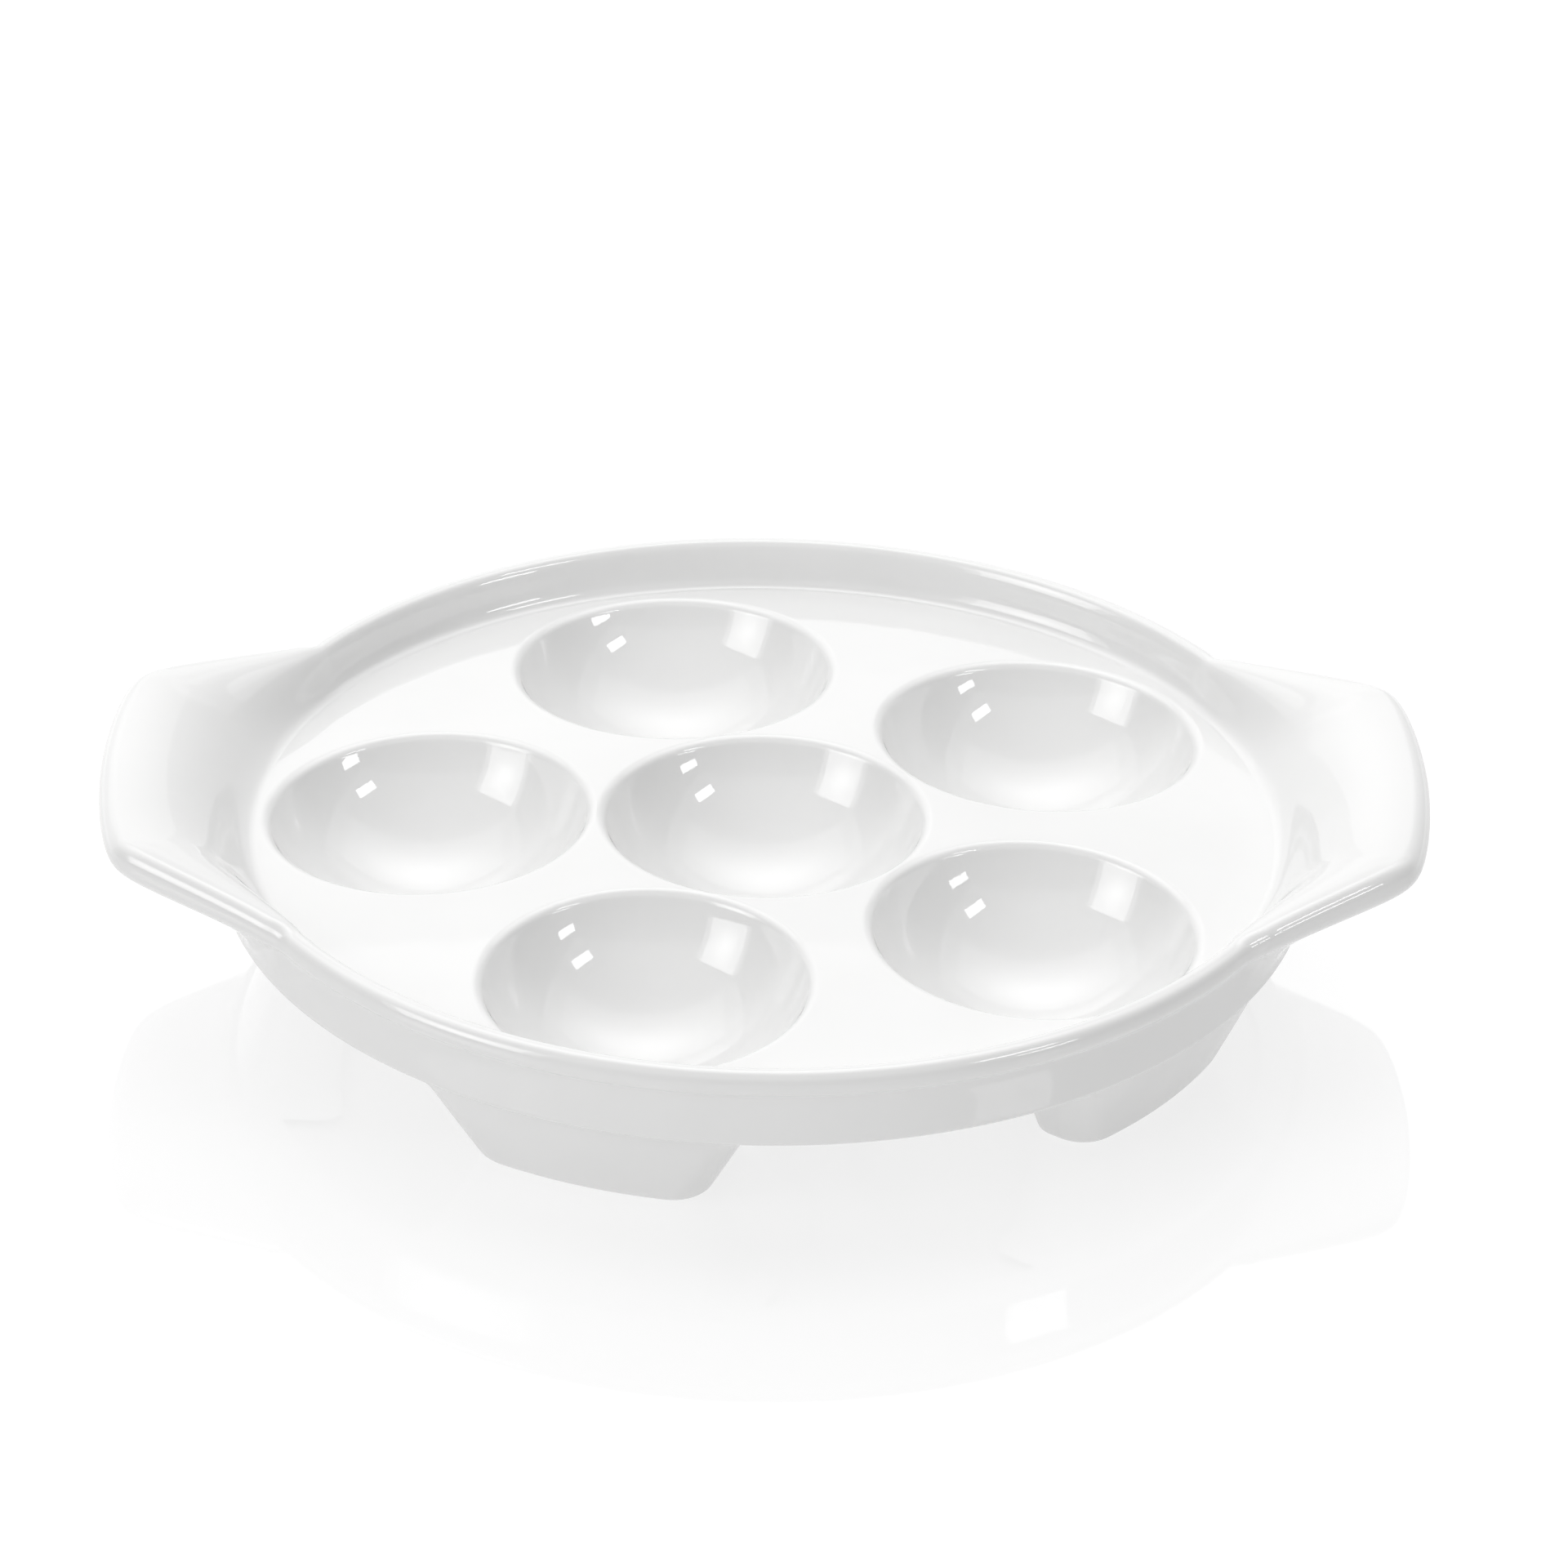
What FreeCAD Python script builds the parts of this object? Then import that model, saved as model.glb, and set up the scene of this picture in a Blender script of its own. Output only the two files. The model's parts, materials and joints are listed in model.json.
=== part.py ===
"""Egg holder tray: a footed porcelain dish with six round wells and two ear handles.

The real dish is one fired casting. It is built here as the whole shape divided at its
own features, so that every well, foot, handle and length of rim is a closed solid that
meets its neighbours face to face with no gap and no overlap.

Frame: millimetres, +Z up, origin on the table under the middle of the dish. The handles
lie along X and the front of the dish faces -Y.
"""
import FreeCAD
import Part
import math
import os

# deck
DECK_HEIGHT = 20.2          # table to the crown of the deck
DOME_RADIUS = 875.0         # the deck is a very shallow dome
DECK_THICKNESS = 4.4
DECK_RADIUS = 63.25         # how far out the plain dome is drawn
CLIMB_START = 63.55         # where the deck begins to turn up towards the rim
DECK_EDGE = 65.0            # where the deck is divided from the rim and handles

# wells
WELL_PITCH = 42.0           # dish centre to the middle of an outer well
WELL_TURN = -2.0            # degrees the ring of wells sits round from the handles
LIP_RADIUS = 21.2           # where the rounded mouth leaves the deck
LIP_ROUND = 1.5
WELL_DEPTH = 14.0           # deck to the bottom of the bowl, on the well's own axis
CUP_WALL = 3.2
CELL_RADIUS = 22.0          # a well's share of the deck round its mouth

# rim
RIM_REACH = 69.5            # outermost point of the rolled edge
RIM_TOP = 23.4
BEAD_ROUND = 1.75           # radius of the rolled edge
BEAD_UNDERCUT = 50.0        # degrees the roll turns in below its widest point
CREASE = 0.7                # how far the roll runs on before the band takes over
INNER_SWEEP = 3.0           # reach of the hollow curve where deck turns up into rim
CREST_SWEEP = 2.2           # reach of the curve that rolls over the crest

# skirt under the rim
SKIRT_RADIUS = 67.9
SKIRT_BOTTOM = 12.5
SKIRT_ROUND = 1.0
SKIRT_LEAN = 0.1            # outward lean of the band, run over rise
BAND_SWEEP = 4.5

# handles
HANDLE_REACH = 82.8         # dish centre to a handle's tip
HANDLE_RISE = 3.6           # how far a handle's tip stands above the rim
HANDLE_ROUND = 2.3          # radius of the rolled edge at the tip
HANDLE_HALF_ANGLE = 33.0    # where the handle has run out into the rim
HANDLE_SPREAD = 0.7         # below 1 the handle's shape comes in early along its flank
HANDLE_RAMP = 3.4           # reach of the hollow curve from deck to handle
HANDLE_LIP = 12.0           # reach of the curve that levels off at the tip
HANDLE_UNDERSIDE = 5.3      # reach of the hollow curve under the tip
HANDLE_ROOT = 50.0          # drawn from inside the deck's edge, then cut back to it
TIP_CURVE = 125.0           # plan radius of the gently bowed tip
CORNER_EASE = 2.8           # how softly tip turns into flank
FLANK_ANGLE = 31.5          # degrees between a flank and the line of the handles
FLANK_START = (60.0, 35.9)  # a point on the flank where it nears the rim
FLARE_EASE = 1.6            # how softly flank turns into rim
SECTION_STEP = 3            # degrees between the outlines a handle is drawn through

# feet
FOOT_OUTER_BASE = 61.3      # outer face of a foot at the table
FOOT_OUTER_TOP = 66.6       # outer face of a foot at the skirt
FOOT_INNER_BASE = 52.5
FOOT_INNER_TOP = 55.5
FOOT_HALF_BASE = 14.4       # half width at the table
FOOT_HALF_TOP = 20.0        # half width just under the skirt, before the flare
FOOT_FLARE = 2.4            # height of the flare under the skirt
FLARE_START = SKIRT_BOTTOM - FOOT_FLARE
FOOT_SPREAD = 1.6           # how far the flare spreads a foot to each side
FLARE_STEPS = 4             # outlines that the flare is drawn through
FOOT_CORNER = 4.6           # rounding of a foot's two outer standing corners
FOOT_BACK_CORNER = 3.0      # and of the two under the dish
FOOT_SOLE_ROUND = 1.2
FOOT_TOP = 15.5             # the foot is run up into the deck, then cut back to it
FOOT_SHIFT = {"front_left": -1.0, "front_right": 1.5}  # degrees off the line of the well

VERTICAL = FreeCAD.Vector(0, 0, 1)
DOME_CENTRE = FreeCAD.Vector(0, 0, DECK_HEIGHT - DOME_RADIUS)
UNDER_RADIUS = DOME_RADIUS - DECK_THICKNESS
WELL_TILT = math.degrees(math.asin(WELL_PITCH / DOME_RADIUS))
TURN = 360.0

OUTER_PLACES = {
    "left": WELL_TURN + 180.0,
    "back_left": WELL_TURN + 108.0,
    "back_right": WELL_TURN + 36.0,
    "front_right": WELL_TURN - 36.0,
    "front_left": WELL_TURN - 108.0,
}


def dome_height(radius):
    """Height of the deck at a plan radius."""
    return DOME_CENTRE.z + math.sqrt(DOME_RADIUS**2 - radius**2)


def at_angle(radius, height, angle):
    """A point given by plan radius, height and bearing in degrees."""
    turn = math.radians(angle)
    return FreeCAD.Vector(radius * math.cos(turn), radius * math.sin(turn), height)


def in_plane(point):
    """A point of an upright profile drawn in the XZ plane."""
    return FreeCAD.Vector(point[0], 0, point[1])


def line(start, end):
    return Part.LineSegment(start, end).toShape()


def bezier(poles):
    curve = Part.BezierCurve()
    curve.setPoles(poles)
    return curve.toShape()


def arc_through(start, middle, end):
    return Part.Arc(start, middle, end).toShape()


def turned(shape, angle):
    """A copy of a shape turned about the dish's upright axis."""
    copy = shape.copy()
    copy.rotate(FreeCAD.Vector(0, 0, 0), VERTICAL, angle)
    return copy


# ---------------------------------------------------------------- wells


def bowl_shape():
    """Centre height and radius of the round bowl, and the centre of the mouth's rounding.

    Heights are from the deck on the well's axis. The rounding touches the deck at the
    lip and runs into the bowl with no edge.
    """
    round_radius = LIP_RADIUS * (DOME_RADIUS - LIP_ROUND) / DOME_RADIUS
    round_height = math.sqrt((DOME_RADIUS - LIP_ROUND) ** 2 - round_radius**2) - DOME_RADIUS
    above_bottom = round_height + WELL_DEPTH
    bowl_radius = (round_radius**2 + above_bottom**2 - LIP_ROUND**2) / (
        2 * (above_bottom + LIP_ROUND)
    )
    return bowl_radius - WELL_DEPTH, bowl_radius, round_radius, round_height


def surface_arc(start_radius, end_radius):
    """The deck's own curve between two distances from a well's axis."""
    heights = [
        math.sqrt(DOME_RADIUS**2 - radius**2) - DOME_RADIUS
        for radius in (start_radius, (start_radius + end_radius) / 2, end_radius)
    ]
    return arc_through(
        in_plane((start_radius, heights[0])),
        in_plane(((start_radius + end_radius) / 2, heights[1])),
        in_plane((end_radius, heights[2])),
    )


def bowl_arc(centre, radius, from_angle, to_angle):
    """Part of a circle about a point of the well's axis, angles in radians from straight down."""
    points = [
        in_plane((radius * math.sin(angle), centre - radius * math.cos(angle)))
        for angle in (from_angle, (from_angle + to_angle) / 2, to_angle)
    ]
    return arc_through(*points)


def mouth_arc(round_radius, round_height, bowl_centre):
    """The rounded mouth, from the top of the bowl to the deck."""
    centre = in_plane((round_radius, round_height))
    to_bowl = in_plane((0, bowl_centre)) - centre
    to_deck = centre - in_plane((0, -DOME_RADIUS))
    to_bowl.normalize()
    to_deck.normalize()
    halfway = to_bowl + to_deck
    halfway.normalize()
    return arc_through(
        centre + to_bowl * LIP_ROUND, centre + halfway * LIP_ROUND, centre + to_deck * LIP_ROUND
    )


def upright_cup():
    """One well as a thick cup about the Z axis, with its share of the deck round the mouth."""
    bowl_centre, bowl_radius, round_radius, round_height = bowl_shape()
    rise = math.atan2(round_radius, bowl_centre - round_height)
    outer_radius = bowl_radius + CUP_WALL
    outer_rise = math.asin(CELL_RADIUS / outer_radius)
    mouth = mouth_arc(round_radius, round_height, bowl_centre)
    deck_share = surface_arc(LIP_RADIUS, CELL_RADIUS)
    inside = bowl_arc(bowl_centre, bowl_radius, 0.0, rise)
    outside = bowl_arc(bowl_centre, outer_radius, outer_rise, 0.0)
    side = line(deck_share.lastVertex().Point, outside.firstVertex().Point)
    middle = line(in_plane((0, bowl_centre - outer_radius)), in_plane((0, -WELL_DEPTH)))
    outline = Part.Wire(Part.__sortEdges__([inside, mouth, deck_share, side, outside, middle]))
    return Part.Face(outline).revolve(FreeCAD.Vector(0, 0, 0), VERTICAL, TURN)


def upright_plug():
    """The same cup with its bowl filled in, used to clear room for a well."""
    bowl_centre, bowl_radius = bowl_shape()[:2]
    outer_radius = bowl_radius + CUP_WALL
    outer_rise = math.asin(CELL_RADIUS / outer_radius)
    outside = bowl_arc(bowl_centre, outer_radius, outer_rise, 0.0)
    corner = in_plane((CELL_RADIUS, DECK_HEIGHT))
    side = line(corner, outside.firstVertex().Point)
    middle = line(in_plane((0, bowl_centre - outer_radius)), in_plane((0, DECK_HEIGHT)))
    top = line(in_plane((0, DECK_HEIGHT)), corner)
    outline = Part.Wire(Part.__sortEdges__([top, side, outside, middle]))
    return Part.Face(outline).revolve(FreeCAD.Vector(0, 0, 0), VERTICAL, TURN)


def seated(shape, bearing):
    """Moves a shape built at the crown of the deck to an outer well's place, square to the dome."""
    copy = shape.copy()
    copy.translate(FreeCAD.Vector(0, 0, DECK_HEIGHT))
    if bearing is not None:
        copy.rotate(DOME_CENTRE, FreeCAD.Vector(0, 1, 0), WELL_TILT)
        copy.rotate(DOME_CENTRE, VERTICAL, bearing)
    return copy


def between_wells():
    """A large block that starts midway between the centre well and an outer one."""
    size = 4 * DECK_RADIUS
    block = Part.makeBox(size, size, size, FreeCAD.Vector(0, -size / 2, -size / 2))
    block.translate(FreeCAD.Vector(0, 0, DECK_HEIGHT))
    block.rotate(DOME_CENTRE, FreeCAD.Vector(0, 1, 0), WELL_TILT / 2)
    return block


def make_wells(dome_drum):
    """The six cups, each cut off where its neighbour or the rim takes over."""
    cup = upright_cup()
    beyond = between_wells()
    centre = seated(cup, None)
    wells = {}
    for place, bearing in OUTER_PLACES.items():
        side = turned(beyond, bearing)
        wells["well_" + place] = seated(cup, bearing).common(side).common(dome_drum)
        centre = centre.cut(side)
    wells["well_centre"] = centre
    return wells


def make_plugs(dome_drum):
    """Filled cups at all six places."""
    plug = upright_plug()
    places = [None, *OUTER_PLACES.values()]
    return [seated(plug, bearing).common(dome_drum) for bearing in places]


# ---------------------------------------------------------------- deck


def above_underside(shape):
    """The part of a shape that lies above the deck's underside."""
    return shape.cut(Part.makeSphere(UNDER_RADIUS, DOME_CENTRE))


def make_collar():
    """The band of space where the deck's edge has begun to climb towards the rim."""
    outer = Part.makeCylinder(DECK_EDGE, 2 * DECK_HEIGHT)
    inner = Part.makeCylinder(DECK_RADIUS, 2 * DECK_HEIGHT)
    return above_underside(outer.cut(inner))


def make_deck(dome_drum, collar, edge_shapes, plugs):
    """The web of deck between the wells and the collar that joins it up all round."""
    dome = Part.makeSphere(DOME_RADIUS, DOME_CENTRE)
    deck = above_underside(dome_drum.common(dome))
    for shape in edge_shapes:
        deck = deck.fuse(shape.common(collar))
    for plug in plugs:
        deck = deck.cut(plug)
    return deck.removeSplitter()


# ---------------------------------------------------------------- rim and handles


def eased(first, second, ease, side):
    """The greater (side 1) or lesser (side -1) of two lengths, with their crossing eased."""
    gap = math.sqrt((first - second) ** 2 + ease**2)
    return (first + second + side * gap) / 2


def outline_reach(angle):
    """Plan reach of the rolled edge at a bearing from a handle's middle line.

    The outline is a gently bowed tip, a straight flank and the round rim, with the
    corner between tip and flank rounded and the flank flared into the rim.
    """
    turn = math.radians(angle)
    tip_centre = HANDLE_REACH - TIP_CURVE
    across = tip_centre * math.sin(turn)
    tip = tip_centre * math.cos(turn) + math.sqrt(TIP_CURVE**2 - across**2)
    lean = math.radians(FLANK_ANGLE)
    offset = FLANK_START[0] * math.sin(lean) + FLANK_START[1] * math.cos(lean)
    flank = offset / math.sin(turn + lean)
    return eased(RIM_REACH, eased(tip, flank, CORNER_EASE, -1), FLARE_EASE, 1)


def edge_profile(reach, share, angle, inner_radius):
    """Closed upright outline of the rim, or of a handle, at one bearing.

    reach is where the rolled edge stands; share runs from 0 on the plain rim to 1 at a
    handle's tip and stretches the curves over and under it. The outline climbs from the
    deck to the crest, rolls over, and comes back under to the skirt and inner_radius.
    """

    def place(radius, height):
        return at_angle(radius, height, angle)

    def between(plain, full):
        return plain + share * (full - plain)

    top = between(RIM_TOP, RIM_TOP + HANDLE_RISE)
    bead = between(BEAD_ROUND, HANDLE_ROUND)
    bead_radius = reach - bead
    bead_height = top - bead
    deck = dome_height(CLIMB_START)
    deck_fall = CLIMB_START / DOME_RADIUS
    ramp = between(INNER_SWEEP, HANDLE_RAMP)
    lip = between(CREST_SWEEP, HANDLE_LIP)
    climb = bezier(
        [
            place(CLIMB_START, deck),
            place(CLIMB_START + ramp, deck - ramp * deck_fall),
            place(bead_radius - lip, top),
            place(bead_radius, top),
        ]
    )
    under = math.radians(BEAD_UNDERCUT)
    roll_end = (
        bead_radius + bead * math.cos(under),
        bead_height - bead * math.sin(under),
    )
    roll = [
        bezier(quarter_roll(place, (bead_radius, bead_height), bead, start, end))
        for start, end in ((math.pi / 2, 0.0), (0.0, -under))
    ]
    run = between(CREASE, HANDLE_UNDERSIDE)
    band_top = (SKIRT_RADIUS, SKIRT_BOTTOM + SKIRT_ROUND)
    band = bezier(
        [
            place(*roll_end),
            place(roll_end[0] - run * math.sin(under), roll_end[1] - run * math.cos(under)),
            place(band_top[0] + SKIRT_LEAN * BAND_SWEEP, band_top[1] + BAND_SWEEP),
            place(*band_top),
        ]
    )
    skirt_centre = SKIRT_RADIUS - SKIRT_ROUND
    hem = bezier(
        quarter_roll(place, (skirt_centre, band_top[1]), SKIRT_ROUND, 0.0, -math.pi / 2)
    )
    low_corner = place(inner_radius, SKIRT_BOTTOM)
    high_corner = place(inner_radius, dome_height(inner_radius))
    edges = [climb, *roll, band, hem, line(place(skirt_centre, SKIRT_BOTTOM), low_corner)]
    edges.append(line(low_corner, high_corner))
    edges.append(line(high_corner, place(CLIMB_START, deck)))
    return Part.Wire(edges)


def quarter_roll(place, centre, size, start, end):
    """Poles of a curve that follows a circle between two angles, up to a quarter turn."""
    pull = 4 / 3 * math.tan((end - start) / 4) * size
    first = (centre[0] + size * math.cos(start), centre[1] + size * math.sin(start))
    last = (centre[0] + size * math.cos(end), centre[1] + size * math.sin(end))
    return [
        place(*first),
        place(first[0] - pull * math.sin(start), first[1] + pull * math.cos(start)),
        place(last[0] + pull * math.sin(end), last[1] - pull * math.cos(end)),
        place(*last),
    ]


def make_rim_length(start):
    """One length of plain rim and skirt, between the two handles."""
    sweep = TURN / 2 - 2 * HANDLE_HALF_ANGLE
    face = Part.Face(edge_profile(RIM_REACH, 0.0, start, DECK_RADIUS))
    return face.revolve(FreeCAD.Vector(0, 0, 0), VERTICAL, sweep)


def make_handle(dome_drum):
    """The handle on the +X side, drawn through upright outlines from one end to the other."""
    steps = round(HANDLE_HALF_ANGLE / SECTION_STEP)
    outlines = []
    for step in range(-steps, steps + 1):
        reach = RIM_REACH
        if abs(step) < steps:
            reach = outline_reach(abs(step) * SECTION_STEP)
        share = (reach - RIM_REACH) / (HANDLE_REACH - RIM_REACH)
        share = max(share, 0.0) ** HANDLE_SPREAD
        outlines.append(edge_profile(reach, share, step * SECTION_STEP, HANDLE_ROOT))
    return Part.makeLoft(outlines, True, False).cut(dome_drum)


# ---------------------------------------------------------------- feet


def foot_size(height):
    """Outer reach, inner reach and half width of a foot at a height above the table."""
    outer = FOOT_OUTER_BASE + (FOOT_OUTER_TOP - FOOT_OUTER_BASE) * height / SKIRT_BOTTOM
    inner = FOOT_INNER_BASE + (FOOT_INNER_TOP - FOOT_INNER_BASE) * height / FOOT_TOP
    straight = (FOOT_HALF_TOP - FOOT_HALF_BASE) * height / FLARE_START
    flare = min(max((height - FLARE_START) / FOOT_FLARE, 0.0), 1.0)
    half = FOOT_HALF_BASE + straight + FOOT_SPREAD * flare**2
    return outer, inner, half


def foot_outline(height):
    """Level outline of a foot: curved front and back, straight sides, rounded corners."""
    outer, inner, half = foot_size(height)
    front_side = half - FOOT_CORNER
    back_side = half - FOOT_BACK_CORNER
    front_x = math.sqrt((outer - FOOT_CORNER) ** 2 - front_side**2)
    back_x = math.sqrt((inner + FOOT_BACK_CORNER) ** 2 - back_side**2)
    front_turn = math.atan2(front_side, front_x)
    back_turn = math.atan2(back_side, back_x)
    stretches = [
        (0.0, 0.0, outer, -front_turn, front_turn),
        (front_x, front_side, FOOT_CORNER, front_turn, math.pi / 2),
        (back_x, back_side, FOOT_BACK_CORNER, math.pi / 2, math.pi + back_turn),
        (0.0, 0.0, inner, back_turn, -back_turn),
        (back_x, -back_side, FOOT_BACK_CORNER, math.pi - back_turn, math.pi * 3 / 2),
        (front_x, -front_side, FOOT_CORNER, -math.pi / 2, -front_turn),
    ]
    edges = []
    for x, y, radius, start, end in stretches:
        points = [
            FreeCAD.Vector(x + radius * math.cos(turn), y + radius * math.sin(turn), height)
            for turn in (start, (start + end) / 2, end)
        ]
        edges.append(arc_through(*points))
    for side in (1, -1):
        front = FreeCAD.Vector(front_x, side * half, height)
        edges.append(line(front, FreeCAD.Vector(back_x, side * half, height)))
    return Part.Wire(Part.__sortEdges__(edges))


def sole_edges(foot):
    """The edges round the flat sole a foot stands on."""
    return [edge for edge in foot.Edges if edge.BoundBox.ZMax < FOOT_SOLE_ROUND]


def raw_foot():
    """One foot on the +X side before the dish above is taken out of it."""
    leg = Part.makeLoft([foot_outline(0.0), foot_outline(FLARE_START)], True, True)
    leg = leg.makeFillet(FOOT_SOLE_ROUND, sole_edges(leg))
    levels = [FLARE_START + FOOT_FLARE * step / FLARE_STEPS for step in range(FLARE_STEPS + 1)]
    flare = Part.makeLoft([foot_outline(level) for level in [*levels, FOOT_TOP]], True, True)
    return leg.fuse(flare)


def make_feet(above):
    """The five feet, each cut back to the cup, deck and skirt it stands under."""
    foot = raw_foot()
    feet = {}
    for place, bearing in OUTER_PLACES.items():
        blank = turned(foot, bearing + FOOT_SHIFT.get(place, 0.0))
        for shape in above:
            if blank.BoundBox.intersect(shape.BoundBox):
                blank = blank.cut(shape)
        feet["foot_" + place] = blank
    return feet


# ---------------------------------------------------------------- dish


def make_dish():
    """Every node's shape by name."""
    dome_drum = Part.makeCylinder(DECK_RADIUS, 2 * DECK_HEIGHT)
    collar = make_collar()
    plugs = make_plugs(dome_drum)
    handle = make_handle(dome_drum)
    edge_shapes = {
        "rim_back": make_rim_length(HANDLE_HALF_ANGLE),
        "rim_front": make_rim_length(HANDLE_HALF_ANGLE + TURN / 2),
        "handle_right": handle,
        "handle_left": turned(handle, TURN / 2),
    }
    deck = make_deck(dome_drum, collar, edge_shapes.values(), plugs)
    shapes = {name: shape.cut(collar) for name, shape in edge_shapes.items()}
    shapes["deck"] = deck
    shapes |= make_wells(dome_drum)
    feet = make_feet([*shapes.values(), *plugs])
    return shapes | feet


def only_solid(name, shape):
    """The one solid a node must be; slivers and stray pieces are an error."""
    if len(shape.Solids) != 1 or not shape.isValid():
        raise ValueError(f"{name} came out as {len(shape.Solids)} solids")
    return shape.Solids[0]


def main():
    os.makedirs("parts", exist_ok=True)
    for name, shape in make_dish().items():
        solid = only_solid(name, shape)
        solid.exportStep(os.path.join("parts", name + ".step"))


main()
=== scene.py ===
"""A white porcelain egg holder tray with six wells, two ear handles and five feet."""
import json
import math

import bpy
import numpy as np
from mathutils import Matrix, Quaternion, Vector
from mathutils.geometry import delaunay_2d_cdt


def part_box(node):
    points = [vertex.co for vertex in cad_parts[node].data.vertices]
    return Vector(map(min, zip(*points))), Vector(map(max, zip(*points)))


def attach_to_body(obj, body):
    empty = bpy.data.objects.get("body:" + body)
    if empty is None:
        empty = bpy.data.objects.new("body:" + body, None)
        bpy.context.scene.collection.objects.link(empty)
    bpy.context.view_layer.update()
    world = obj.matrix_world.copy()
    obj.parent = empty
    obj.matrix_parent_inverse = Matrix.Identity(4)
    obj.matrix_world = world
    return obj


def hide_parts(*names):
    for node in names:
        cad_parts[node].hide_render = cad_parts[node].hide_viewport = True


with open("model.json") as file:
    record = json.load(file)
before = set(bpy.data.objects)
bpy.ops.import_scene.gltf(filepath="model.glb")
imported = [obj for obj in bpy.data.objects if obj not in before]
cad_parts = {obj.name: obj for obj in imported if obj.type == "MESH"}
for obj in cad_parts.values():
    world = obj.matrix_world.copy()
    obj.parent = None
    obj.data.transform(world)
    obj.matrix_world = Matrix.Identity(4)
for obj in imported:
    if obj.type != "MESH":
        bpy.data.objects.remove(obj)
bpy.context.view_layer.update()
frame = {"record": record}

MM = 0.001
mounts = {mount["name"]: mount for mount in frame["record"]["mounts"]}


def corners_mm(node):
    """Lowest and highest corner of a CAD node, in millimetres."""
    low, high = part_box(node)
    return np.array(low) / MM, np.array(high) / MM


# ------------------------------------------------------------------ sizes in millimetres

# read from the frame
RIM_REACH = float(corners_mm("rim_back")[1][1])
RIM_TOP = float(corners_mm("rim_back")[1][2])
SKIRT_BOTTOM = float(corners_mm("rim_back")[0][2])
HANDLE_REACH = float(corners_mm("handle_right")[1][0])
HANDLE_TOP = float(corners_mm("handle_right")[1][2])
DECK_HEIGHT = mounts["mouth_centre"]["pos_m"][2] / MM

# the deck: a very shallow dome with a flat belly
DOME_RADIUS = 875.0
UNDER_RADIUS = DOME_RADIUS - 4.4
CLIMB_START = 63.55  # plan radius where the inside of the rim starts to climb
COLLAR = 65.0  # plan radius where the deck's node meets the rim's

# the wells
WELL_PITCH = 42.0
WELL_DEPTH = 14.0
LIP_RADIUS = 21.2  # where the rounded mouth runs out into the deck
LIP_ROUND = 1.5
CUP_WALL = 3.2
CUP_BLEND = 2.0  # width of the eased line between a cup and the belly, seen from below
CELL_RADIUS = 22.0  # how far a well's own share of the deck goes
PINCH = 0.12  # least deck kept between a mouth and the next well

# the rolled edge: a bead on a rim, with a skirt below it
BEAD_ROUND = 1.75
BEAD_UNDERCUT = 50.0  # degrees
CREASE = 0.7
INNER_SWEEP = 3.0
CREST_SWEEP = 2.2
SKIRT_INNER = 63.25
SKIRT_RADIUS = 67.9
SKIRT_ROUND = 1.0
SKIRT_LEAN = 0.1
BAND_SWEEP = 4.5

# the handles, where the same edge reaches farther and higher
HANDLE_ROUND = 2.3
HANDLE_SPREAD = 0.7
HANDLE_RAMP = 3.4
HANDLE_LIP = 12.0
HANDLE_UNDERSIDE = 5.3
HANDLE_HALF_ANGLE = 33.0  # degrees
HANDLE_FADE = 3.0  # degrees over which a handle gives way to the plain rim
TIP_CURVE = 125.0
CORNER_EASE = 2.8
FLANK_ANGLE = 31.5  # degrees
FLANK_START = (60.0, 35.9)
FLARE_EASE = 1.6

# the feet; each pair is at the sole and where the foot meets the dish
FOOT_OUTER = (61.3, 66.6)
FOOT_INNER = (52.5, 55.5)
FOOT_HALF = (14.4, 20.0)
FOOT_FLARE = 2.4
FOOT_SPREAD = 1.6
FOOT_CORNER = 4.6
FOOT_BACK_CORNER = 3.0
FOOT_TOP = 15.5
FOOT_SHIFT = {"front_left": -1.0, "front_right": 1.5}  # degrees off the line of the well
SOLE_ROUND = 1.2
OVERLAP = 0.2  # how far a foot runs into the dish above it

# spacing of the points that the meshes are made of
EDGE_STEP = 0.5  # degrees, round the dish
WELL_STEP = 2.0  # degrees, round a well
COLLAR_ROWS = (CLIMB_START, 63.75, 64.0, 64.3, 64.65)  # plan radii
RING_ROWS = (22.5, 23.1, 23.9)  # radii round each well
HIDDEN_ROWS = (SKIRT_INNER, SKIRT_INNER, 64.0, COLLAR)  # from the skirt's hem up its inside
RING_GAP = 0.3
COLLAR_GAP = 0.2
FIELD_SPACING = 1.4
FIELD_GAP = 0.7
BOWL_STEPS = 40
LIP_STEPS = 12
CURVE_STEPS = 30
BEAD_STEPS = 25
HEM_STEPS = 8
SOLE_STEPS = 7
FOOT_STEPS = 23
CAP_STEPS = 8
HALVINGS = 40
NORMAL_STEP = 0.02  # distance over which a slope is measured

DOME_Z = DECK_HEIGHT - DOME_RADIUS
WELL_TILT = math.asin(WELL_PITCH / DOME_RADIUS)
PLACES = ("back_right", "back_left", "left", "front_left", "front_right")
DOWN = np.array([0.0, 0.0, -1.0])


def place_bearing(place):
    """Bearing in radians of an outer well, from its mount."""
    x, y = mounts["mouth_" + place]["pos_m"][:2]
    return math.radians(round(math.degrees(math.atan2(y, x))))


BEARINGS = {place: place_bearing(place) % math.tau for place in PLACES}


# ------------------------------------------------------------------ curves


def unit(vectors):
    """The same directions, each one long."""
    return vectors / np.linalg.norm(vectors, axis=-1, keepdims=True)


def eased(first, second, ease, side):
    """The greater (side 1) or lesser (side -1) of two lengths, with their crossing eased."""
    return (first + second + side * np.sqrt((first - second) ** 2 + ease**2)) / 2


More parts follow.
